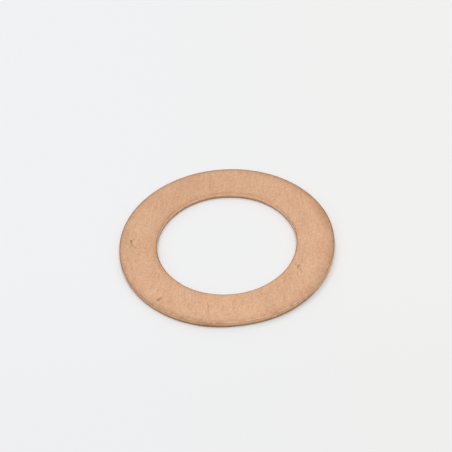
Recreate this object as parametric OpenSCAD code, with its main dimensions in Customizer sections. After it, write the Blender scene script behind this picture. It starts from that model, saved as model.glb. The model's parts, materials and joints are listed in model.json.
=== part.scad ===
// Connecting rod washer: a thin copper-alloy ring stamped from flat sheet, which runs between
// the side of the rod's big end and the crank web. It is one piece, with no joints.
// The origin is on the axis of the hole at the lower face, +Z is up, and lengths are in mm.

/* [Ring] */
// Diameter across the rim
rim_d = 39; // [32:0.1:60]
// Diameter of the hole that the crank pin passes through
bore_d = 25.2; // [12:0.1:28]
// Thickness of the sheet, from face to face
sheet_t = 1.05; // [0.8:0.05:2]

/* [Rolled-over edges of the upper face] */
// How far in from the rim the face starts to fall away
rim_roll_w = 0.32; // [0.25:0.01:0.6]
// How far the face has fallen at the rim
rim_roll_h = 0.14; // [0.1:0.01:0.2]
// How far out from the hole the face starts to fall away
bore_roll_w = 0.3; // [0.25:0.01:0.6]
// How far the face has fallen at the hole
bore_roll_h = 0.16; // [0.1:0.01:0.2]
// Radius that tumbling leaves where a rolled-over edge meets its wall
corner_r = 0.12; // [0.06:0.01:0.15]

/* [Sheared walls] */
// Height of the torn lower part of a wall, below its smooth band
tear_h = 0.4; // [0.2:0.01:0.45]
// How far the torn part has drawn back from the smooth band at the lower face
tear_w = 0.05; // [0.02:0.01:0.1]
// Radius that tumbling leaves where the burr stood on the lower face
burr_r = 0.06; // [0.03:0.01:0.1]

/* [Hidden] */
$fn = 160;
copper = [0.85, 0.68, 0.55];
rim_r = rim_d / 2;
bore_r = bore_d / 2;
// How far waste reaches past the metal that it is cut from
waste_over = 0.5;

// Radius of the arc that leaves a face level and has fallen by h at a distance w further on
function roll_arc_r(w, h) = (w * w + h * h) / (2 * h);

// Point at a distance r and an angle a from c
function polar(c, r, a) = c + r * [cos(a), sin(a)];

// What lies outside an arc of radius r about c, between two angles
module outside_arc(c, r, low_a, high_a) {
    reach = r + waste_over;
    mid_a = (low_a + high_a) / 2;
    difference() {
        polygon([
            c,
            polar(c, reach, low_a),
            polar(c, reach / cos((high_a - low_a) / 2), mid_a),
            polar(c, reach, high_a)
        ]);
        translate(c) circle(r = r);
    }
}

// Waste of one sheared edge, for metal that fills x < 0: the face rolls over, turns a tumbled
// corner into a smooth upright band, tears back below it, and ends in the broken edge of a burr
module edge_waste(roll_w, roll_h) {
    roll_r = roll_arc_r(roll_w, roll_h);
    roll_c = [-roll_w, sheet_t - roll_r];
    corner_rise = sqrt(pow(roll_r - corner_r, 2) - pow(roll_w - corner_r, 2));
    corner_c = [-corner_r, roll_c.y + corner_rise];
    corner_a = atan2(corner_rise, roll_w - corner_r);
    tear_l = norm([tear_w, tear_h]);
    tear_a = -atan2(tear_w, tear_h);
    burr_c = [-tear_w - burr_r * (tear_l - tear_w) / tear_h, burr_r];
    outside_arc(roll_c, roll_r, 0, 90);
    outside_arc(corner_c, corner_r, 0, corner_a);
    polygon([
        [0, tear_h],
        [-tear_w, 0],
        [-tear_w, -waste_over],
        [waste_over, -waste_over],
        [waste_over, tear_h]
    ]);
    outside_arc(burr_c, burr_r, -90, tear_a);
}

// Section of the ring, in the half-plane to the right of its axis
module ring_section() {
    difference() {
        translate([bore_r, 0]) square([rim_r - bore_r, sheet_t]);
        translate([rim_r, 0]) edge_waste(rim_roll_w, rim_roll_h);
        translate([bore_r, 0]) mirror([1, 0, 0]) edge_waste(bore_roll_w, bore_roll_h);
    }
}

// The ring, revolved from its section
module washer() {
    color(copper) rotate_extrude() ring_section();
}

washer();
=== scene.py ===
import json
import math
from collections import namedtuple
import bpy
from mathutils import Matrix, Vector


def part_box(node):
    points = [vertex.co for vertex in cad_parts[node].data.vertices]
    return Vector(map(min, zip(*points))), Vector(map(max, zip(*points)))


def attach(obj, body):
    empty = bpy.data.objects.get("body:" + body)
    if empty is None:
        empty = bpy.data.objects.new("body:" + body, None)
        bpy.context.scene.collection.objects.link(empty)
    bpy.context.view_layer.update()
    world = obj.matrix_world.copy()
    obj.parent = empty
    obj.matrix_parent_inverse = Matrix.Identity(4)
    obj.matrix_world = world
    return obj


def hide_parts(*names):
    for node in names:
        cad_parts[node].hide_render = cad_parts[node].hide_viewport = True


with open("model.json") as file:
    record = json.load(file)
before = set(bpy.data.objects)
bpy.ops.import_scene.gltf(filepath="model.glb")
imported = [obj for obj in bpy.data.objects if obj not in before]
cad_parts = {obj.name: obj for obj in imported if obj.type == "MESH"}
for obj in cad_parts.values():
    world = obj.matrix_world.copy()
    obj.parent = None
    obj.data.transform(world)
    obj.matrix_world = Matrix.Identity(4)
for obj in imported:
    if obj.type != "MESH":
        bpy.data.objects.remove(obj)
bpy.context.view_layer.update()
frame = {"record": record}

MM = 0.001

# Ring, from the frame
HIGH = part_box("washer")[1]
RIM_R = HIGH.x
SHEET_T = HIGH.z
MOUNTS = {m["name"]: m for m in frame["record"]["mounts"]}
BORE_R = MOUNTS["bore"]["dims"]["r_mm"] * MM

# Section of the two sheared edges, as in the part's source: each roll-over's width and height,
# the tumbled corner, the torn part and the burr
RIM_ROLL = (0.32 * MM, 0.14 * MM)
BORE_ROLL = (0.3 * MM, 0.16 * MM)
CORNER_R = 0.12 * MM
TEAR_H = 0.4 * MM
TEAR_W = 0.05 * MM
BURR_R = 0.06 * MM

# Faces along the section and round the ring
ROLL_ROWS = 7
CORNER_ROWS = 4
BAND_ROWS = 2
TEAR_ROWS = 2
BURR_ROWS = 2
LOWER_ROWS = 4
PLAIN_STEP = 0.3 * MM
MARKED_STEP = 0.075 * MM
MARKED_RINGS = ((13.8 * MM, 14.9 * MM), (16.7 * MM, 18.2 * MM))
SPOKES = 1080
PATH_R = (RIM_R + BORE_R) / 2

# A face whose normal rises or falls by less than this belongs to a wall
WALL_SLOPE = 0.5

# Wear of the faces and edges
RIPPLE = 0.006 * MM
RIPPLE_SIZE = 5 * MM
WAVER = 0.03 * MM
WAVER_SIZE = 1.6 * MM
WAVER_REACH = 0.9 * MM
SEED = 7

# Knocks and scratches of the upper face: start, end, half width and depth in mm, and how dark they are.
# A mark without depth is a stain alone.
Mark = namedtuple("Mark", "start end half_w depth stain")
MARKS = [
    # Dark knock at the left
    Mark((-17.33, 2.1), (-17.28, 1.7), 0.18, 0.02, 0.85),
    Mark((-17.25, 1.6), (-17.2, 0.8), 0.15, 0.015, 0.5),
    Mark((-17.1, 2.0), (-16.6, 2.4), 0.11, 0.01, 0.4),
    Mark((-17.3, 0.7), (-17.5, 0.2), 0.12, 0.01, 0.4),
    Mark((-17.0, 0.9), (-16.4, 0.1), 0.11, 0.01, 0.4),
    Mark((-18.06, 1.9), (-18.06, 1.1), 0.3, 0.0, 0.14),
    # Dent at the front left
    Mark((-12.6, -12.9), (-12.3, -12.62), 0.28, 0.02, 0.7),
    Mark((-12.35, -12.6), (-12.1, -12.38), 0.24, 0.01, 0.42),
    # Knocks beside the hole at the right
    Mark((12.45, -6.75), (12.2, -7.6), 0.16, 0.03, 0.55),
    Mark((12.5, -7.1), (12.7, -7.05), 0.16, 0.02, 0.4),
    Mark((12.7, -7.8), (12.85, -8.6), 0.14, 0.01, 0.35),
    Mark((11.75, -6.75), (12.1, -6.65), 0.11, 0.0, 0.3),
    Mark((12.1, -8.6), (12.05, -9.9), 0.1, 0.0, 0.25),
    Mark((10.6, -8.9), (10.9, -8.8), 0.14, 0.01, 0.25),
    # Scratches along the grain, and small pits
    Mark((-3.85, -15.1), (-3.9, -15.3), 0.17, 0.015, 0.4),
    Mark((-3.9, -15.6), (-4.15, -17.7), 0.09, 0.005, 0.25),
    Mark((5.1, -12.6), (5.5, -13.3), 0.1, 0.008, 0.3),
    Mark((9.35, -13.8), (9.4, -15.5), 0.08, 0.005, 0.2),
    Mark((6.05, -16.0), (6.05, -17.3), 0.08, 0.005, 0.2),
    Mark((-1.9, 13.7), (-1.9, 16.6), 0.08, 0.005, 0.25),
    Mark((-2.3, 14.0), (-2.3, 16.5), 0.08, 0.005, 0.2),
    Mark((5.2, 12.8), (5.2, 16.0), 0.08, 0.005, 0.2),
    Mark((14.25, 0.9), (14.25, 0.9), 0.15, 0.008, 0.35),
    Mark((18.35, -3.4), (18.35, -3.4), 0.15, 0.008, 0.35),
    # Nick at the left of the rim
    Mark((-17.95, -8.2), (-17.85, -8.3), 0.18, 0.03, 0.5),
    # Smudges along the front of the rim
    Mark((-9.0, -17.2), (-8.2, -17.6), 0.25, 0.0, 0.3),
    Mark((-5.1, -18.7), (-4.4, -18.85), 0.22, 0.0, 0.35),
    Mark((-5.6, -18.5), (-3.6, -19.0), 0.3, 0.0, 0.2),
    Mark((-2.9, -19.05), (-1.9, -19.15), 0.2, 0.0, 0.3),
    Mark((1.6, -18.9), (1.9, -18.7), 0.2, 0.0, 0.25),
    Mark((7.7, -17.8), (7.9, -17.6), 0.22, 0.0, 0.25),
    Mark((10.2, -16.3), (10.5, -16.2), 0.2, 0.0, 0.35),
    # Broad dull places beside the rim
    Mark((16.9, 7.6), (18.0, 4.6), 0.9, 0.0, 0.2),
    Mark((18.2, 4.2), (18.6, 1.6), 0.6, 0.0, 0.17),
    Mark((-18.0, 4.6), (-18.3, 1.6), 0.7, 0.0, 0.14),
]

# Squared run that stands in for a dot's, which has none
SHORTEST_RUN = 0.0001

# Places where the rim or the hole strays from round: the edge's radius, the azimuth,
# how soon the stray fades to the sides, and its outward reach in mm
Stray = namedtuple("Stray", "edge_r azimuth sharpness reach")
STRAYS = [
    Stray(RIM_R, -84, 30, -0.155),
    Stray(RIM_R, -66, 26, 0.085),
    Stray(RIM_R, -46, 40, 0.03),
    Stray(RIM_R, 0, 60, -0.05),
    Stray(RIM_R, 179, 40, -0.05),
    Stray(BORE_R, 82, 28, -0.08),
]
STRAY_DEPTH = 2.5 * MM

# Camera
VIEW_LIFT = math.radians(45.02)
VIEW_ROLL = math.radians(3.97)
VIEW_DISTANCE = 258.34 * MM
AIM = Vector((0.092, 5.143, 0)) * MM
LENS = 112.06
SENSOR = 36
NEAREST_SEEN = 10 * MM

# Studio light: its level at the horizon, what it gains overhead and how tightly, and how it leans
WALL_LIGHT = 0.42
OVERHEAD_LIGHT = 1.75
OVERHEAD_FOCUS = 4
LIGHT_LEAN = (-0.07, 0.1, 0)

# Finishes, and painted light and shade, as linear colours
WHITE = (1, 1, 1, 1)
PALE_COPPER = (0.783, 0.509, 0.331, 1)
DEEP_COPPER = (0.603, 0.339, 0.207, 1)
SHEARED_COPPER = (0.83, 0.53, 0.345, 1)
# Painted highlight: a brighter copper laid where light glints on the lips and walls
PAINTED_HIGHLIGHT_COPPER = (0.93, 0.62, 0.41, 1)
TARNISH = (0.34, 0.156, 0.061, 1)
SMUDGE = (0.34, 0.203, 0.132, 1)
SCRATCH_BROWN = (0.345, 0.18, 0.08, 1)
# Painted shade for the foot of the walls, where they meet the paper
FOOT_SHADE_TONE = (0.12, 0.085, 0.06, 1)
GOLDEN_TONE = (1.022, 1, 0.972, 1)
ROSY_TONE = (0.978, 1, 1.022, 1)
COOL_PAPER = (0.873, 0.881, 0.893, 1)
WARM_PAPER = (0.878, 0.876, 0.872, 1)
# Painted light on the paper near the metal, warm as if bounced off the copper, and a painted shadow
PAINTED_LIGHT_TONE = (1.09, 1.08, 1.07, 1)
PAINTED_SHADOW_TONE = (0.85, 0.855, 0.845, 1)

# Grain of the faces: how far it is turned, and its layers with the size of a grain in mm
GRAIN_TURN = math.radians(8)
Layer = namedtuple("Layer", "across along detail weight seed")
GRAIN_LAYERS = [
    Layer(0.13, 0.18, 0, 1.25, 11),
    Layer(0.36, 0.5, 0, 0.85, 41),
    Layer(0.3, 1.6, 1, 0.72, 3),
    Layer(0.75, 1.2, 0, 0.2, 21),
    Layer(2.3, 3.6, 0, 0.28, 31),
    Layer(6.0, 8.0, 0, 0.25, 51),
]

# Roughness of the faces: of the deep grain, less on the pale grain, and more in a mark
FACE_ROUGH = 0.52
PALE_SMOOTHER = 0.1
MARK_ROUGHER = 0.2

# Side of the faces that is a little paler
PALER_AZIMUTH = 45
PALER_SHARPNESS = 8
PALER_SHADES = (1.0, 1.04)

# Depth of the grain's relief, and the share of it that a hairline cuts
FACE_RELIEF = 0.002 * MM
HAIR_RELIEF = 0.6

# Specks and hairlines: their strength, how much of their width is full, and the part of its run,
# from the middle, over which a hairline tapers off
FLECK_STRENGTH = 0.3
SPECK_CORE = 0.4
HAIR_CORE = 0.3
HAIR_TAPER = (0.1, 0.45)

# Bands along the rim and the hole: how far they reach in from the edge and waver in mm,
# and the waves in a mm
Band = namedtuple("Band", "width waver seed")
EDGE_BANDS = {
    "broad": Band(2.4, 0.8, 4),
    "wide": Band(1.6, 0.6, 23),
    "narrow": Band(1.1, 0.3, 8),
    "close": Band(0.8, 0.12, 29),
    "thin": Band(0.55, 0.1, 19),
    "highlight_lip": Band(0.14, 0.04, 27),
}
BAND_WAVES = 1.1

# Stains, and painted highlights on the lips, in those bands: their strength away from an azimuth and there,
# how soon it fades between them, and their colour. Patches make them weaker and stronger.
Stain = namedtuple("Stain", "band edge azimuth away there sharpness colour")
EDGE_STAINS_AND_HIGHLIGHTS = [
    Stain("broad", "Rim", 10, 0.03, 0.25, 3, TARNISH),
    Stain("broad", "Rim", -90, 0.0, 0.1, 6, TARNISH),
    Stain("wide", "Hole", 160, 0.0, 0.16, 1, TARNISH),
    Stain("wide", "Hole", -75, 0.0, 0.45, 8, PALE_COPPER),
    Stain("narrow", "Rim", -120, 0.05, 0.45, 4, SMUDGE),
    Stain("narrow", "Rim", -88, 0.0, 0.35, 14, SMUDGE),
    Stain("narrow", "Hole", 90, 0.03, 0.1, 1, TARNISH),
    Stain("thin", "Hole", 90, 0.14, 0.6, 2, TARNISH),
    Stain("thin", "Hole", 88, 0.0, 0.35, 30, TARNISH),
    # Painted highlights: bright copper on the hole's lip round three azimuths
    Stain("highlight_lip", "Hole", 45, 0.0, 0.95, 14, PAINTED_HIGHLIGHT_COPPER),
    Stain("highlight_lip", "Hole", 130, 0.0, 1.0, 8, PAINTED_HIGHLIGHT_COPPER),
    Stain("highlight_lip", "Hole", 178, 0.0, 0.6, 40, PAINTED_HIGHLIGHT_COPPER),
    Stain("narrow", "Rim", 15, 0.0, 0.22, 5, TARNISH),
    Stain("close", "Rim", 120, 0.0, 0.42, 1, SMUDGE),
    Stain("close", "Rim", -18, 0.0, 0.16, 40, SMUDGE),
    # Painted highlight on the rim's lip round azimuth -25
    Stain("highlight_lip", "Rim", -25, 0.0, 0.7, 40, PAINTED_HIGHLIGHT_COPPER),
]
PATCHY = (0.7, 1.3)

# Sheared walls: a value on the hole's wall, and round the rim's wall one away from an azimuth
# and one there, with how soon it fades between them. The rise is in mm, the rest are strengths.
Walls = namedtuple("Walls", "hole azimuth away there sharpness")
TORN_RISE = Walls(0.0, -90, 0.16, 0.0, 4)
# The torn part's smudge is real, but it is left off round azimuth -17 on the rim, which paints the wall
# lighter there
TORN_SMUDGE = Walls(0.43, -17, 0.5, 0.0, 32)
# Painted shade along the foot of the walls
PAINTED_FOOT_SHADE = Walls(0.27, -110, 0.1, 0.61, 9)
# Painted highlight along the top of the walls: all round the hole, and round azimuth -58 on the rim
PAINTED_LIP_HIGHLIGHT = Walls(1.0, -58, 0.0, 0.4, 50)
BAND_TARNISH = Walls(0.0, -102, 0.1, 0.5, 250)
# Painted highlight over the rim's wall round azimuth -14
PAINTED_BAND_HIGHLIGHT = Walls(0.0, -14, 0.0, 0.7, 32)

# Heights on the sheared walls in mm: where each zone fades, and how far the scores, the patches
# and the hole's side shift the lower zones
TORN_FADE = (0.64, 0.92)
FOOT_FADE = (0.2, 0.5)
LIP_FADE = (0.68, 0.85)
SCORE_SHIFT = 0.3
PATCH_SHIFT = 0.12
HOLE_SHIFT = 0.07

# Surface of the sheared walls: roughness of the smooth band, more on the torn part, tarnish in patches,
# shades of the scores and the patches, and the depth of the relief
BAND_ROUGH = 0.32
TORN_ROUGHER = 0.25
PATCH_TARNISH = 0.15
SCORE_SHADES = (0.9, 1.1)
PATCH_SHADES = (0.95, 1.03)
WALL_RELIEF = 0.012 * MM

# Paper: where it turns from cool to warm and where it is painted darker towards the front, in mm from the
# middle
PAPER_SIDES = (-35, 35)
PAPER_FRONT = (-40, 0)
FRONT_SHADES = (0.982, 1.0)
PAPER_ROUGH = 0.9
FLOOR_HALF = 3000 * MM

# Painted light and shade on the paper near the metal: their reach in mm, and the painted shadow beside the
# front right of the rim
TONE_REACH = 0.9
SHADE_FROM_RIM = 0.3
SHADE_AZIMUTH = -42
SHADE_SHARPNESS = 14


def arc(centre, radius, start, end, rows):
    """Points along an arc in the section, both ends included."""
    points = []
    for i in range(rows + 1):
        a = start + (end - start) * i / rows
        points.append((centre[0] + radius * math.cos(a), centre[1] + radius * math.sin(a)))
    return points


def line(start, end, rows):
    """Points inside a straight stretch of the section, without its ends."""
    return [tuple(s + (e - s) * i / rows for s, e in zip(start, end)) for i in range(1, rows)]


def sheared_edge(roll_w, roll_h):
    """Points down one sheared edge whose metal lies at x < 0."""
    roll_r = (roll_w ** 2 + roll_h ** 2) / (2 * roll_h)
    roll_c = (-roll_w, SHEET_T - roll_r)
    corner_rise = math.sqrt((roll_r - CORNER_R) ** 2 - (roll_w - CORNER_R) ** 2)
    corner_c = (-CORNER_R, roll_c[1] + corner_rise)
    corner_a = math.atan2(corner_rise, roll_w - CORNER_R)
    tear_l = math.hypot(TEAR_W, TEAR_H)
    tear_a = -math.atan2(TEAR_W, TEAR_H)
    burr_c = (-TEAR_W - BURR_R * (tear_l - TEAR_W) / TEAR_H, BURR_R)
    roll = arc(roll_c, roll_r, math.pi / 2, corner_a, ROLL_ROWS)
    corner = arc(corner_c, CORNER_R, corner_a, 0, CORNER_ROWS)
    burr = arc(burr_c, BURR_R, tear_a, -math.pi / 2, BURR_ROWS)
    tear_top = (0, TEAR_H)
    band = line(corner[-1], tear_top, BAND_ROWS)
    tear = line(tear_top, burr[0], TEAR_ROWS)
    return roll + corner[1:] + band + [tear_top] + tear + burr


def upper_face(start, end):
    """Points across the upper face, closer together on the rings that hold marks."""
    stops = [start[0]] + [r for ring in MARKED_RINGS for r in ring] + [end[0]]
    points = []
    for i, (low, high) in enumerate(zip(stops, stops[1:])):
        step = MARKED_STEP if i % 2 else PLAIN_STEP
        if i:
            points.append((low, start[1]))
        points += line((low, start[1]), (high, end[1]), max(1, round((high - low) / step)))
    return points


def ring_section():
    """Closed outline of the ring's section, as (radius, height)."""
    rim = [(RIM_R + x, z) for x, z in sheared_edge(*RIM_ROLL)]
    bore = [(BORE_R - x, z) for x, z in reversed(sheared_edge(*BORE_ROLL))]
    return rim + line(rim[-1], bore[0], LOWER_ROWS) + bore + upper_face(bore[-1], rim[0])


def heading(azimuth):
    """Outward direction at an azimuth in degrees."""
    a = math.radians(azimuth)
    return (math.cos(a), math.sin(a), 0)


def node(tree, kind, inputs=None, **settings):
    """Add a node with its settings. Its inputs take a socket as a link, or else a value."""
    new = tree.nodes.new(kind)
    for name, value in settings.items():
        setattr(new, name, value)
    for name, value in (inputs or {}).items():
        if isinstance(value, bpy.types.NodeSocket):
            tree.links.new(value, new.inputs[name])
        else:
            new.inputs[name].default_value = value
    return new


def calc(tree, operation, a, b=0.0, c=0.0, clamp=False):
    """Result of one sum on numbers."""
    return node(tree, "ShaderNodeMath", {0: a, 1: b, 2: c}, operation=operation, use_clamp=clamp).outputs[0]


def vector_calc(tree, operation, a, b=(0, 0, 0)):
    """Result of one sum on vectors: a number for a length or a dot product, else a vector."""
    out = node(tree, "ShaderNodeVectorMath", {0: a, 1: b}, operation=operation).outputs
    return out["Value"] if operation in ("LENGTH", "DOT_PRODUCT") else out["Vector"]


def flat(tree, vector):
    """The vector without its height."""
    return vector_calc(tree, "MULTIPLY", vector, (1, 1, 0))


def height_of(tree, vector):
    """The height in a vector."""
    return node(tree, "ShaderNodeSeparateXYZ", {0: vector}).outputs["Z"]


def scaled(tree, vector, factor):
    """The vector made longer or shorter."""
    return node(tree, "ShaderNodeVectorMath", {0: vector, "Scale": factor}, operation="SCALE").outputs[0]


def turned(tree, vector, angle):
    """The vector turned about the ring's axis."""
    inputs = {"Vector": vector, "Angle": angle}
    return node(tree, "ShaderNodeVectorRotate", inputs, rotation_type="Z_AXIS").outputs[0]


def ease(tree, value, low, high, to_low=0.0, to_high=1.0):
    """Smooth step from one value to another as a number goes from low to high."""
    inputs = {0: value, 1: low, 2: high, 3: to_low, 4: to_high}
    return node(tree, "ShaderNodeMapRange", inputs, interpolation_type="SMOOTHSTEP").outputs[0]


def fade(tree, value, low, high):
    """Smooth step down from 1 to 0 as a number goes from low to high."""
    return ease(tree, value, low, high, 1.0, 0.0)


def soft_line(tree, distance, half_w):
    """Strength of a soft stroke: 1 on its line, and about a third at its half width."""
    ratio = calc(tree, "DIVIDE", distance, half_w)
    return calc(tree, "EXPONENT", calc(tree, "MULTIPLY", calc(tree, "POWER", ratio, 2), -1))


def noise(tree, vector, scale, detail, seed):
    """Noise from 0 to 1, with a seed."""
    inputs = {"Vector": vector, "Scale": scale, "Detail": detail, "W": seed}
    return node(tree, "ShaderNodeTexNoise", inputs, noise_dimensions="4D").outputs["Fac"]


def cells_of(tree, vector, scale, seed):
    """Distance, place and colour of the nearest of many scattered cells."""
    inputs = {"Vector": vector, "Scale": scale, "W": seed}
    return node(tree, "ShaderNodeTexVoronoi", inputs, voronoi_dimensions="4D").outputs


def kept_share(tree, colour, share):
    """Strength of the cells that are kept, and 0 for the rest, picked by the cell's colour."""
    pick = node(tree, "ShaderNodeSeparateColor", {0: colour}).outputs
    return calc(tree, "MULTIPLY", calc(tree, "LESS_THAN", pick[0], share), pick[1])


def tint(tree, mask, colour, other, blend="MIX"):
    """Colour with another laid over it where the mask is 1."""
    # Input 0 of a colour mix is its mask, and 6 and 7 are its two colours
    inputs = {0: mask, 6: colour, 7: other}
    return node(tree, "ShaderNodeMix", inputs, data_type="RGBA", blend_type=blend).outputs[2]


def group(name, kind, inputs, outputs):
    """New node group with named sockets, and the sockets of its two end nodes."""
    tree = bpy.data.node_groups.new(name, kind)
    for label, (sort, value) in inputs.items():
        socket = tree.interface.new_socket(name=label, in_out="INPUT", socket_type="NodeSocket" + sort)
        if value is not None:
            socket.default_value = value
    for label, sort in outputs.items():
        tree.interface.new_socket(name=label, in_out="OUTPUT", socket_type="NodeSocket" + sort)
    return tree, tree.nodes.new("NodeGroupInput").outputs, tree.nodes.new("NodeGroupOutput").inputs


def place(tree, used, inputs):
    """Outputs of a node group placed in a tree with its own values."""
    kind = "GeometryNodeGroup" if tree.bl_idname == "GeometryNodeTree" else "ShaderNodeGroup"
    return node(tree, kind, inputs, node_tree=used).outputs


def shift_points(tree, given, shift, out):
    """Move each point of the given geometry, and hand the result to the group's output."""
    inputs = {"Geometry": given["Geometry"], "Offset": shift}
    tree.links.new(node(tree, "GeometryNodeSetPosition", inputs).outputs[0], out["Geometry"])


def knock_group():
    """Presses one short straight mark into a surface."""
    inputs = {
        "Geometry": ("Geometry", None),
        "Start": ("Vector", (0, 0, 0)),
        "End": ("Vector", (0, 0, 0)),
        "Half width": ("Float", 0.1 * MM),
        "Depth": ("Float", 0.05 * MM),
    }
    tree, given, out = group("knock", "GeometryNodeTree", inputs, {"Geometry": "Geometry"})
    # Inputs 2 and 3 of a mesh line are its ends, and 0 is its number of points
    ends = {2: given["Start"], 3: given["End"], 0: 2}
    stroke = node(tree, "GeometryNodeMeshLine", ends, mode="END_POINTS").outputs[0]
    near = node(tree, "GeometryNodeProximity", {0: stroke}, target_element="EDGES").outputs["Distance"]
    depth = calc(tree, "MULTIPLY", soft_line(tree, near, given["Half width"]), given["Depth"])
    normal = node(tree, "GeometryNodeInputNormal").outputs[0]
    shift_points(tree, given, scaled(tree, normal, calc(tree, "MULTIPLY", depth, -1)), out)
    return tree


def waver_group():
    """Lowers the upper face by a gentle ripple, and its two edges by an uneven amount."""
    inputs = {
        "Geometry": ("Geometry", None),
        "Sheet": ("Float", SHEET_T),
        "Rim radius": ("Float", RIM_R),
        "Hole radius": ("Float", BORE_R),
        "Ripple": ("Float", RIPPLE),
        "Ripple size": ("Float", RIPPLE_SIZE),
        "Waver": ("Float", WAVER),
        "Waver size": ("Float", WAVER_SIZE),
        "Reach": ("Float", WAVER_REACH),
        "Seed": ("Float", SEED),
    }
    tree, given, out = group("uneven_face", "GeometryNodeTree", inputs, {"Geometry": "Geometry"})
    place_at = node(tree, "GeometryNodeInputPosition").outputs[0]
    level = flat(tree, place_at)
    radius = vector_calc(tree, "LENGTH", level)
    raised = calc(tree, "DIVIDE", height_of(tree, place_at), given["Sheet"])
    rim_start = calc(tree, "SUBTRACT", given["Rim radius"], given["Reach"])
    hole_start = calc(tree, "ADD", given["Hole radius"], given["Reach"])
    rim = ease(tree, radius, rim_start, given["Rim radius"])
    hole = fade(tree, radius, given["Hole radius"], hole_start)
    ripple = noise(tree, level, calc(tree, "DIVIDE", 1, given["Ripple size"]), 2, given["Seed"])
    waver = noise(tree, level, calc(tree, "DIVIDE", 1, given["Waver size"]), 3, given["Seed"])
    drop = calc(tree, "MULTIPLY", ripple, given["Ripple"])
    edge_drop = calc(tree, "MULTIPLY", waver, given["Waver"])
    total = calc(tree, "MULTIPLY_ADD", edge_drop, calc(tree, "MAXIMUM", rim, hole), drop)
    lowered = calc(tree, "MULTIPLY", calc(tree, "MULTIPLY", total, raised), -1)
    shift_points(tree, given, node(tree, "ShaderNodeCombineXYZ", {"Z": lowered}).outputs[0], out)
    return tree


def stray_group():
    """Moves one edge outwards or inwards round one azimuth, fading across the face."""
    inputs = {
        "Geometry": ("Geometry", None),
        "Facing": ("Vector", (1, 0, 0)),
        "Sharpness": ("Float", 20),
        "Reach": ("Float", 0.1 * MM),
        "Edge radius": ("Float", RIM_R),
        "Fade": ("Float", STRAY_DEPTH),
    }
    tree, given, out = group("strayed_edge", "GeometryNodeTree", inputs, {"Geometry": "Geometry"})
    level = flat(tree, node(tree, "GeometryNodeInputPosition").outputs[0])
    outward = vector_calc(tree, "NORMALIZE", level)
    facing = calc(tree, "MAXIMUM", vector_calc(tree, "DOT_PRODUCT", outward, given["Facing"]), 0.0)
    from_edge = calc(tree, "SUBTRACT", vector_calc(tree, "LENGTH", level), given["Edge radius"])
    near = fade(tree, calc(tree, "ABSOLUTE", from_edge), 0.0, given["Fade"])
    share = calc(tree, "MULTIPLY", calc(tree, "POWER", facing, given["Sharpness"]), near)
    shift_points(tree, given, scaled(tree, outward, calc(tree, "MULTIPLY", share, given["Reach"])), out)
    return tree


def ring_tree(face, wall):
    """Turns a section about the axis, wears it, and gives its faces and walls their metals."""
    inputs = {
        "Section": ("Geometry", None),
        "Path radius": ("Float", PATH_R),
        "Spokes": ("Int", SPOKES),
        "Wall slope": ("Float", WALL_SLOPE),
        "Seed": ("Float", SEED),
    }
    tree, given, out = group("turned_ring", "GeometryNodeTree", inputs, {"Ring": "Geometry"})
    section = node(tree, "GeometryNodeMeshToCurve", {0: given["Section"]}).outputs[0]
    circle = {"Radius": given["Path radius"], "Resolution": given["Spokes"]}
    path = node(tree, "GeometryNodeCurvePrimitiveCircle", circle).outputs[0]
    ring = node(tree, "GeometryNodeCurveToMesh", {"Curve": path, "Profile Curve": section}).outputs[0]
    ring = place(tree, waver_group(), {"Geometry": ring, "Seed": given["Seed"]})[0]
    strayed = stray_group()
    for stray in STRAYS:
        ring = place(tree, strayed, {
            "Geometry": ring,
            "Facing": heading(stray.azimuth),
            "Sharpness": stray.sharpness,
            "Reach": stray.reach * MM,
            "Edge radius": stray.edge_r,
        })[0]
    knock = knock_group()
    for mark in [m for m in MARKS if m.depth]:
        ring = place(tree, knock, {
            "Geometry": ring,
            "Start": (mark.start[0] * MM, mark.start[1] * MM, SHEET_T),
            "End": (mark.end[0] * MM, mark.end[1] * MM, SHEET_T),
            "Half width": mark.half_w * MM,
            "Depth": mark.depth * MM,
        })[0]
    ring = node(tree, "GeometryNodeSetShadeSmooth", {0: ring}).outputs[0]
    ring = node(tree, "GeometryNodeSetMaterial", {0: ring, "Material": face}).outputs[0]
    normal = node(tree, "GeometryNodeInputNormal").outputs[0]
    upright = calc(tree, "LESS_THAN", calc(tree, "ABSOLUTE", height_of(tree, normal)), given["Wall slope"])
    chosen = {0: ring, "Selection": upright, "Material": wall}
    ring = node(tree, "GeometryNodeSetMaterial", chosen).outputs[0]
    ring = node(tree, "GeometryNodeRealizeInstances", {0: ring}).outputs[0]
    tree.links.new(ring, out["Ring"])
    return tree


def ring_mesh(face, wall):
    """Plain mesh of the worn ring."""
    # A profile's second axis points down once it is turned, so heights go in with a minus sign
    points = [(r - PATH_R, -z, 0) for r, z in ring_section()]
    edges = [(i, (i + 1) % len(points)) for i in range(len(points))]
    section = bpy.data.meshes.new("washer_section")
    section.from_pydata(points, edges, [])
    shape = bpy.data.objects.new("washer_section", section)
    bpy.context.scene.collection.objects.link(shape)
    tree = ring_tree(face, wall)
    modifier = shape.modifiers.new("turn", "NODES")
    modifier.node_group = tree
    values = {"Path radius": PATH_R, "Spokes": SPOKES, "Wall slope": WALL_SLOPE, "Seed": float(SEED)}
    for socket in tree.interface.items_tree:
        if socket.in_out == "INPUT" and socket.name in values:
            modifier[socket.identifier] = values[socket.name]
    worn = shape.evaluated_get(bpy.context.evaluated_depsgraph_get())
    mesh = bpy.data.meshes.new_from_object(worn)
    bpy.data.objects.remove(shape)
    return mesh


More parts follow.
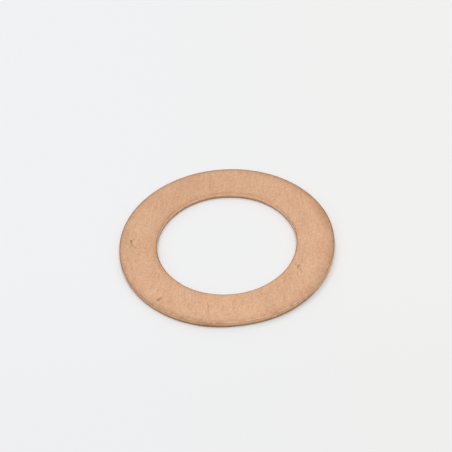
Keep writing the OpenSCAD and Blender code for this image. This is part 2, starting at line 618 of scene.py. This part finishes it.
def grain_group():
    """Streaks or grains whose size along each axis is given in mm."""
    inputs = {
        "Vector": ("Vector", None),
        "Cell": ("Vector", (1, 1, 1)),
        "Detail": ("Float", 2),
        "Seed": ("Float", 0),
    }
    tree, given, out = group("grain", "ShaderNodeTree", inputs, {"Grain": "Float"})
    cells = vector_calc(tree, "DIVIDE", given["Vector"], given["Cell"])
    tree.links.new(noise(tree, cells, 1, given["Detail"], given["Seed"]), out["Grain"])
    return tree


def cloud_group():
    """Soft patches of one size in mm, over a share of the surface."""
    inputs = {
        "Vector": ("Vector", None),
        "Size": ("Float", 1),
        "Low": ("Float", 0.4),
        "High": ("Float", 0.6),
        "Seed": ("Float", 0),
    }
    tree, given, out = group("cloud", "ShaderNodeTree", inputs, {"Mask": "Float"})
    patches = noise(tree, given["Vector"], calc(tree, "DIVIDE", 1, given["Size"]), 3, given["Seed"])
    tree.links.new(ease(tree, patches, given["Low"], given["High"]), out["Mask"])
    return tree


def side_group():
    """Value that goes from one level to another towards one side of the ring."""
    inputs = {
        "Vector": ("Vector", None),
        "Facing": ("Vector", (1, 0, 0)),
        "Away": ("Float", 0),
        "There": ("Float", 1),
        "Sharpness": ("Float", 1),
    }
    tree, given, out = group("side", "ShaderNodeTree", inputs, {"Value": "Float"})
    outward = vector_calc(tree, "NORMALIZE", flat(tree, given["Vector"]))
    facing = vector_calc(tree, "DOT_PRODUCT", outward, given["Facing"])
    share = calc(tree, "MULTIPLY_ADD", facing, 0.5, 0.5, clamp=True)
    near = calc(tree, "POWER", share, given["Sharpness"])
    span = calc(tree, "SUBTRACT", given["There"], given["Away"])
    tree.links.new(calc(tree, "MULTIPLY_ADD", near, span, given["Away"]), out["Value"])
    return tree


def speckle_group():
    """Small separate specks, with their spacing in mm and the share of places that have one."""
    inputs = {
        "Vector": ("Vector", None),
        "Spacing": ("Float", 1),
        "Size": ("Float", 0.2),
        "Share": ("Float", 0.3),
        "Seed": ("Float", 0),
    }
    tree, given, out = group("speckle", "ShaderNodeTree", inputs, {"Mask": "Float"})
    found = cells_of(tree, given["Vector"], calc(tree, "DIVIDE", 1, given["Spacing"]), given["Seed"])
    reach = calc(tree, "DIVIDE", given["Size"], given["Spacing"])
    dot = fade(tree, found["Distance"], calc(tree, "MULTIPLY", reach, SPECK_CORE), reach)
    kept = kept_share(tree, found["Color"], given["Share"])
    tree.links.new(calc(tree, "MULTIPLY", dot, kept), out["Mask"])
    return tree


def hairline_group():
    """Sparse straight hair scratches along one direction."""
    inputs = {
        "Vector": ("Vector", None),
        "Turn": ("Float", 0),
        "Spacing": ("Float", 1),
        "Run": ("Float", 2),
        "Width": ("Float", 0.05),
        "Share": ("Float", 0.3),
        "Seed": ("Float", 0),
    }
    tree, given, out = group("hairline", "ShaderNodeTree", inputs, {"Mask": "Float"})
    pitch = {"X": given["Spacing"], "Y": given["Run"], "Z": given["Run"]}
    pitch = node(tree, "ShaderNodeCombineXYZ", pitch).outputs[0]
    cells = vector_calc(tree, "DIVIDE", turned(tree, given["Vector"], given["Turn"]), pitch)
    found = cells_of(tree, cells, 1, given["Seed"])
    away = vector_calc(tree, "ABSOLUTE", vector_calc(tree, "SUBTRACT", cells, found["Position"]))
    away = node(tree, "ShaderNodeSeparateXYZ", {0: away}).outputs
    half = calc(tree, "DIVIDE", given["Width"], given["Spacing"])
    thin = fade(tree, away["X"], calc(tree, "MULTIPLY", half, HAIR_CORE), half)
    ends = fade(tree, away["Y"], *HAIR_TAPER)
    kept = kept_share(tree, found["Color"], given["Share"])
    tree.links.new(calc(tree, "MULTIPLY", calc(tree, "MULTIPLY", thin, ends), kept), out["Mask"])
    return tree


def edge_group():
    """Bands along the rim and the hole that fade inwards, with wavering limits."""
    inputs = {
        "Vector": ("Vector", None),
        "Rim radius": ("Float", RIM_R / MM),
        "Hole radius": ("Float", BORE_R / MM),
        "Width": ("Float", 1),
        "Waver": ("Float", 0.2),
        "Waves": ("Float", BAND_WAVES),
        "Seed": ("Float", 0),
    }
    tree, given, out = group("edge_band", "ShaderNodeTree", inputs, {"Rim": "Float", "Hole": "Float"})
    radius = vector_calc(tree, "LENGTH", flat(tree, given["Vector"]))
    uneven = calc(tree, "SUBTRACT", noise(tree, given["Vector"], given["Waves"], 3, given["Seed"]), 0.5)
    waver = calc(tree, "MULTIPLY", uneven, given["Waver"])
    to_rim = calc(tree, "ADD", calc(tree, "SUBTRACT", given["Rim radius"], radius), waver)
    to_hole = calc(tree, "ADD", calc(tree, "SUBTRACT", radius, given["Hole radius"]), waver)
    tree.links.new(fade(tree, to_rim, 0.0, given["Width"]), out["Rim"])
    tree.links.new(fade(tree, to_hole, 0.0, given["Width"]), out["Hole"])
    return tree


def stroke_group():
    """One short straight stroke with soft sides, its start, run and half width in mm."""
    inputs = {
        "Vector": ("Vector", None),
        "Start": ("Vector", (0, 0, 0)),
        "Run": ("Vector", (1, 0, 0)),
        "Half width": ("Float", 0.1),
        "Strength": ("Float", 1.0),
    }
    tree, given, out = group("stroke", "ShaderNodeTree", inputs, {"Mask": "Float"})
    from_start = vector_calc(tree, "SUBTRACT", flat(tree, given["Vector"]), given["Start"])
    along = vector_calc(tree, "DOT_PRODUCT", from_start, given["Run"])
    length = vector_calc(tree, "DOT_PRODUCT", given["Run"], given["Run"])
    share = calc(tree, "DIVIDE", along, calc(tree, "MAXIMUM", length, SHORTEST_RUN), clamp=True)
    nearest = scaled(tree, given["Run"], share)
    away = vector_calc(tree, "LENGTH", vector_calc(tree, "SUBTRACT", from_start, nearest))
    soft = soft_line(tree, away, given["Half width"])
    tree.links.new(calc(tree, "MULTIPLY", soft, given["Strength"]), out["Mask"])
    return tree


GRAIN = grain_group()
CLOUD = cloud_group()
SIDE = side_group()
SPECKLE = speckle_group()
HAIRLINE = hairline_group()
EDGE_BAND = edge_group()
STROKE = stroke_group()


def new_material(name):
    """Material with its tree, its shader and the place on the piece in mm."""
    material = bpy.data.materials.new(name)
    material.use_nodes = True
    tree = material.node_tree
    at = node(tree, "ShaderNodeTexCoord").outputs["Object"]
    return material, tree, tree.nodes["Principled BSDF"], scaled(tree, at, 1 / MM)


def side_share(tree, at, azimuth, away, there, sharpness):
    """Value that is one away from an azimuth round the axis and another there."""
    return place(tree, SIDE, {
        "Vector": at, "Facing": heading(azimuth), "Away": away, "There": there, "Sharpness": sharpness,
    })[0]


def round_walls(tree, at, outer, walls):
    """Value that is even on the hole's wall and changes round the rim's."""
    away = walls.away - walls.hole
    there = walls.there - walls.hole
    on_rim = side_share(tree, at, walls.azimuth, away, there, walls.sharpness)
    return calc(tree, "MULTIPLY_ADD", outer, on_rim, walls.hole)


def shade(tree, colour, value, low, high):
    """Colour made darker or paler as a number from 0 to 1 goes from low to high."""
    level = calc(tree, "MULTIPLY_ADD", value, high - low, low)
    grey = node(tree, "ShaderNodeCombineColor", {0: level, 1: level, 2: level}).outputs[0]
    return tint(tree, 1.0, colour, grey, "MULTIPLY")


def bump(tree, height, depth):
    """Normal of a surface whose height from 0 to 1 stands for a depth in metres."""
    return node(tree, "ShaderNodeBump", {"Height": height, "Distance": depth}).outputs[0]


def mottle(tree, at):
    """Level from 0 to 1 of the rolled and tumbled grain, from fine streaks up to soft clouds."""
    along_grain = turned(tree, at, GRAIN_TURN)
    level = 0.5 - sum(layer.weight for layer in GRAIN_LAYERS) / 2
    for layer in GRAIN_LAYERS:
        cell = (layer.across, layer.along, layer.across)
        inputs = {"Vector": along_grain, "Cell": cell, "Detail": layer.detail, "Seed": layer.seed}
        level = calc(tree, "MULTIPLY_ADD", place(tree, GRAIN, inputs)[0], layer.weight, level)
    return level


def mark_stains(tree, at):
    """Mask of the knocks and scratches, on the upper face only."""
    total = 0.0
    for mark in MARKS:
        stroke = place(tree, STROKE, {
            "Vector": at,
            "Start": (mark.start[0], mark.start[1], 0),
            "Run": (mark.end[0] - mark.start[0], mark.end[1] - mark.start[1], 0),
            "Half width": mark.half_w,
            "Strength": mark.stain,
        })[0]
        total = calc(tree, "MAXIMUM", stroke, total)
    upper = calc(tree, "GREATER_THAN", height_of(tree, at), SHEET_T / MM / 2)
    return calc(tree, "MULTIPLY", total, upper)


def stain_and_highlight_edges(tree, at, colour):
    """Colour with the stains that follow the rim and the hole, and the painted highlights on their lips,
    laid over it.
    """
    patches = place(tree, CLOUD, {"Vector": at, "Size": 0.6, "Low": 0.35, "High": 0.65, "Seed": 14})[0]
    patchy = calc(tree, "MULTIPLY_ADD", patches, PATCHY[1] - PATCHY[0], PATCHY[0])
    bands = {}
    for name, band in EDGE_BANDS.items():
        inputs = {"Vector": at, "Width": band.width, "Waver": band.waver, "Seed": band.seed}
        bands[name] = place(tree, EDGE_BAND, inputs)
    for stain in EDGE_STAINS_AND_HIGHLIGHTS:
        share = side_share(tree, at, stain.azimuth, stain.away, stain.there, stain.sharpness)
        strength = calc(tree, "MULTIPLY", share, patchy)
        mask = calc(tree, "MULTIPLY", bands[stain.band][stain.edge], strength)
        colour = tint(tree, mask, colour, stain.colour)
    return colour


def face_copper():
    """Satin tumbled copper of the faces: rolled grain, specks, and tarnish towards the edges."""
    material, tree, shader, at = new_material("face_copper")
    level = mottle(tree, at)
    rosy = place(tree, GRAIN, {"Vector": at, "Cell": (1.6, 2.2, 1.6), "Detail": 4, "Seed": 5})[0]
    specks = place(tree, SPECKLE, {"Vector": at, "Spacing": 0.7, "Size": 0.16, "Share": 0.35, "Seed": 2})[0]
    hairs = place(tree, HAIRLINE, {
        "Vector": at, "Turn": 0.05, "Spacing": 1.1, "Run": 2.2, "Width": 0.07, "Share": 0.25, "Seed": 9,
    })[0]
    marks = mark_stains(tree, at)
    colour = tint(tree, level, DEEP_COPPER, PALE_COPPER)
    tone = tint(tree, ease(tree, rosy, 0.3, 0.7), GOLDEN_TONE, ROSY_TONE)
    colour = tint(tree, 1.0, colour, tone, "MULTIPLY")
    paler = side_share(tree, at, PALER_AZIMUTH, 0.0, 1.0, PALER_SHARPNESS)
    colour = shade(tree, colour, paler, *PALER_SHADES)
    colour = stain_and_highlight_edges(tree, at, colour)
    for flecks in (specks, hairs):
        colour = tint(tree, calc(tree, "MULTIPLY", flecks, FLECK_STRENGTH), colour, TARNISH)
    colour = tint(tree, marks, colour, SCRATCH_BROWN)
    tree.links.new(colour, shader.inputs["Base Color"])
    shader.inputs["Metallic"].default_value = 1
    rough = calc(tree, "MULTIPLY_ADD", level, -PALE_SMOOTHER, FACE_ROUGH)
    rough = calc(tree, "MULTIPLY_ADD", marks, MARK_ROUGHER, rough)
    tree.links.new(rough, shader.inputs["Roughness"])
    relief = calc(tree, "SUBTRACT", level, calc(tree, "MULTIPLY", hairs, HAIR_RELIEF))
    tree.links.new(bump(tree, relief, FACE_RELIEF), shader.inputs["Normal"])
    return material


def sheared_copper():
    """Sheared walls: a scored smooth band above with painted highlights, and a dull torn part with painted
    shade at its foot below.
    """
    material, tree, shader, at = new_material("sheared_copper")
    score = place(tree, GRAIN, {"Vector": at, "Cell": (0.12, 0.12, 1.6), "Detail": 2, "Seed": 13})[0]
    torn_grain = place(tree, GRAIN, {"Vector": at, "Cell": (0.1, 0.1, 0.16), "Detail": 3, "Seed": 17})[0]
    stain = place(tree, CLOUD, {"Vector": at, "Size": 1.6, "Low": 0.35, "High": 0.7, "Seed": 6})[0]
    patches = place(tree, CLOUD, {"Vector": at, "Size": 0.6, "Low": 0.35, "High": 0.65, "Seed": 33})[0]
    height = height_of(tree, at)
    outer = calc(tree, "GREATER_THAN", vector_calc(tree, "LENGTH", flat(tree, at)), PATH_R / MM)
    lowered = calc(tree, "MULTIPLY_ADD", outer, HOLE_SHIFT, -HOLE_SHIFT)
    foot_at = calc(tree, "MULTIPLY_ADD", score, SCORE_SHIFT, calc(tree, "ADD", height, lowered))
    torn_at = calc(tree, "MULTIPLY_ADD", patches, PATCH_SHIFT, foot_at)
    torn_at = calc(tree, "SUBTRACT", torn_at, round_walls(tree, at, outer, TORN_RISE))
    torn = fade(tree, torn_at, *TORN_FADE)
    tarnished = calc(tree, "MULTIPLY_ADD", stain, PATCH_TARNISH, round_walls(tree, at, outer, BAND_TARNISH))
    # Painted highlight along the top of the walls
    highlight_lip = calc(tree, "MULTIPLY", ease(tree, height, *LIP_FADE), round_walls(tree, at, outer, PAINTED_LIP_HIGHLIGHT))
    smudged = calc(tree, "MULTIPLY", torn, round_walls(tree, at, outer, TORN_SMUDGE))
    # Painted shade at the foot of the walls
    foot_shade = calc(tree, "MULTIPLY", fade(tree, foot_at, *FOOT_FADE), round_walls(tree, at, outer, PAINTED_FOOT_SHADE))
    # Painted highlight over the rim's wall
    colour = tint(tree, round_walls(tree, at, outer, PAINTED_BAND_HIGHLIGHT), SHEARED_COPPER, PAINTED_HIGHLIGHT_COPPER)
    colour = tint(tree, tarnished, colour, TARNISH)
    colour = tint(tree, highlight_lip, colour, PAINTED_HIGHLIGHT_COPPER)
    colour = shade(tree, colour, score, *SCORE_SHADES)
    colour = shade(tree, colour, patches, *PATCH_SHADES)
    colour = tint(tree, smudged, colour, SMUDGE)
    colour = tint(tree, foot_shade, colour, FOOT_SHADE_TONE)
    tree.links.new(colour, shader.inputs["Base Color"])
    shader.inputs["Metallic"].default_value = 1
    tree.links.new(calc(tree, "MULTIPLY_ADD", torn, TORN_ROUGHER, BAND_ROUGH), shader.inputs["Roughness"])
    relief = tint(tree, torn, score, torn_grain)
    tree.links.new(bump(tree, relief, WALL_RELIEF), shader.inputs["Normal"])
    return material


def paper():
    """Plain pale paper: cooler to one side, painted darker towards the front, with painted light close to
    the metal and a painted shadow beside the front right of the rim.
    """
    material, tree, shader, at = new_material("paper")
    place_at = node(tree, "ShaderNodeSeparateXYZ", {0: at}).outputs
    colour = tint(tree, ease(tree, place_at["X"], *PAPER_SIDES), COOL_PAPER, WARM_PAPER)
    # Painted shade: the paper darker towards the front
    colour = shade(tree, colour, ease(tree, place_at["Y"], *PAPER_FRONT), *FRONT_SHADES)
    radius = vector_calc(tree, "LENGTH", flat(tree, at))
    outside = calc(tree, "SUBTRACT", radius, RIM_R / MM)
    inside = calc(tree, "SUBTRACT", BORE_R / MM, radius)
    # Painted light: the paper lighter and warmer close to the metal
    painted_light = fade(tree, calc(tree, "MAXIMUM", outside, inside), 0.0, TONE_REACH)
    colour = tint(tree, painted_light, colour, PAINTED_LIGHT_TONE, "MULTIPLY")
    # Painted shadow on the paper beside the front right of the rim
    from_shade = calc(tree, "ABSOLUTE", calc(tree, "SUBTRACT", outside, SHADE_FROM_RIM))
    side = side_share(tree, at, SHADE_AZIMUTH, 0.0, 1.0, SHADE_SHARPNESS)
    painted_shadow = calc(tree, "MULTIPLY", fade(tree, from_shade, 0.0, TONE_REACH), side)
    colour = tint(tree, painted_shadow, colour, PAINTED_SHADOW_TONE, "MULTIPLY")
    tree.links.new(colour, shader.inputs["Base Color"])
    shader.inputs["Roughness"].default_value = PAPER_ROUGH
    shader.inputs["Specular IOR Level"].default_value = 0
    return material


def make_washer():
    """The ring, in place of its plain solid."""
    ring = bpy.data.objects.new("washer_ring", ring_mesh(face_copper(), sheared_copper()))
    bpy.context.scene.collection.objects.link(ring)
    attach(ring, "root")
    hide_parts("washer")


def make_floor():
    """Wide pale floor that the ring lies on."""
    corners = [(x * FLOOR_HALF, y * FLOOR_HALF, 0) for x, y in ((-1, -1), (1, -1), (1, 1), (-1, 1))]
    mesh = bpy.data.meshes.new("floor")
    mesh.from_pydata(corners, [], [(0, 1, 2, 3)])
    mesh.materials.append(paper())
    floor = bpy.data.objects.new("floor", mesh)
    bpy.context.scene.collection.objects.link(floor)


def make_light():
    """Soft studio light from all round, brightest overhead."""
    world = bpy.data.worlds.new("studio")
    bpy.context.scene.world = world
    world.use_nodes = True
    tree = world.node_tree
    direction = node(tree, "ShaderNodeTexCoord").outputs["Generated"]
    lift = calc(tree, "MAXIMUM", height_of(tree, direction), 0.0)
    overhead = calc(tree, "POWER", lift, OVERHEAD_FOCUS)
    sides = calc(tree, "ADD", vector_calc(tree, "DOT_PRODUCT", direction, LIGHT_LEAN), WALL_LIGHT)
    background = tree.nodes["Background"]
    background.inputs["Color"].default_value = WHITE
    level = calc(tree, "MULTIPLY_ADD", overhead, OVERHEAD_LIGHT, sides)
    tree.links.new(level, background.inputs["Strength"])


def make_camera():
    """Camera at the picture's viewing angle."""
    view = bpy.data.cameras.new("camera")
    view.lens = LENS
    view.sensor_width = SENSOR
    view.clip_start = NEAREST_SEEN
    camera = bpy.data.objects.new("camera", view)
    bpy.context.scene.collection.objects.link(camera)
    turn = Matrix.Rotation(math.pi / 2 - VIEW_LIFT, 4, "X") @ Matrix.Rotation(-VIEW_ROLL, 4, "Z")
    back = Vector((0, -math.cos(VIEW_LIFT), math.sin(VIEW_LIFT)))
    camera.matrix_world = Matrix.Translation(AIM + back * VIEW_DISTANCE) @ turn
    bpy.context.scene.camera = camera


make_camera()
make_light()
make_floor()
make_washer()
bpy.context.scene.view_settings.view_transform = "Standard"
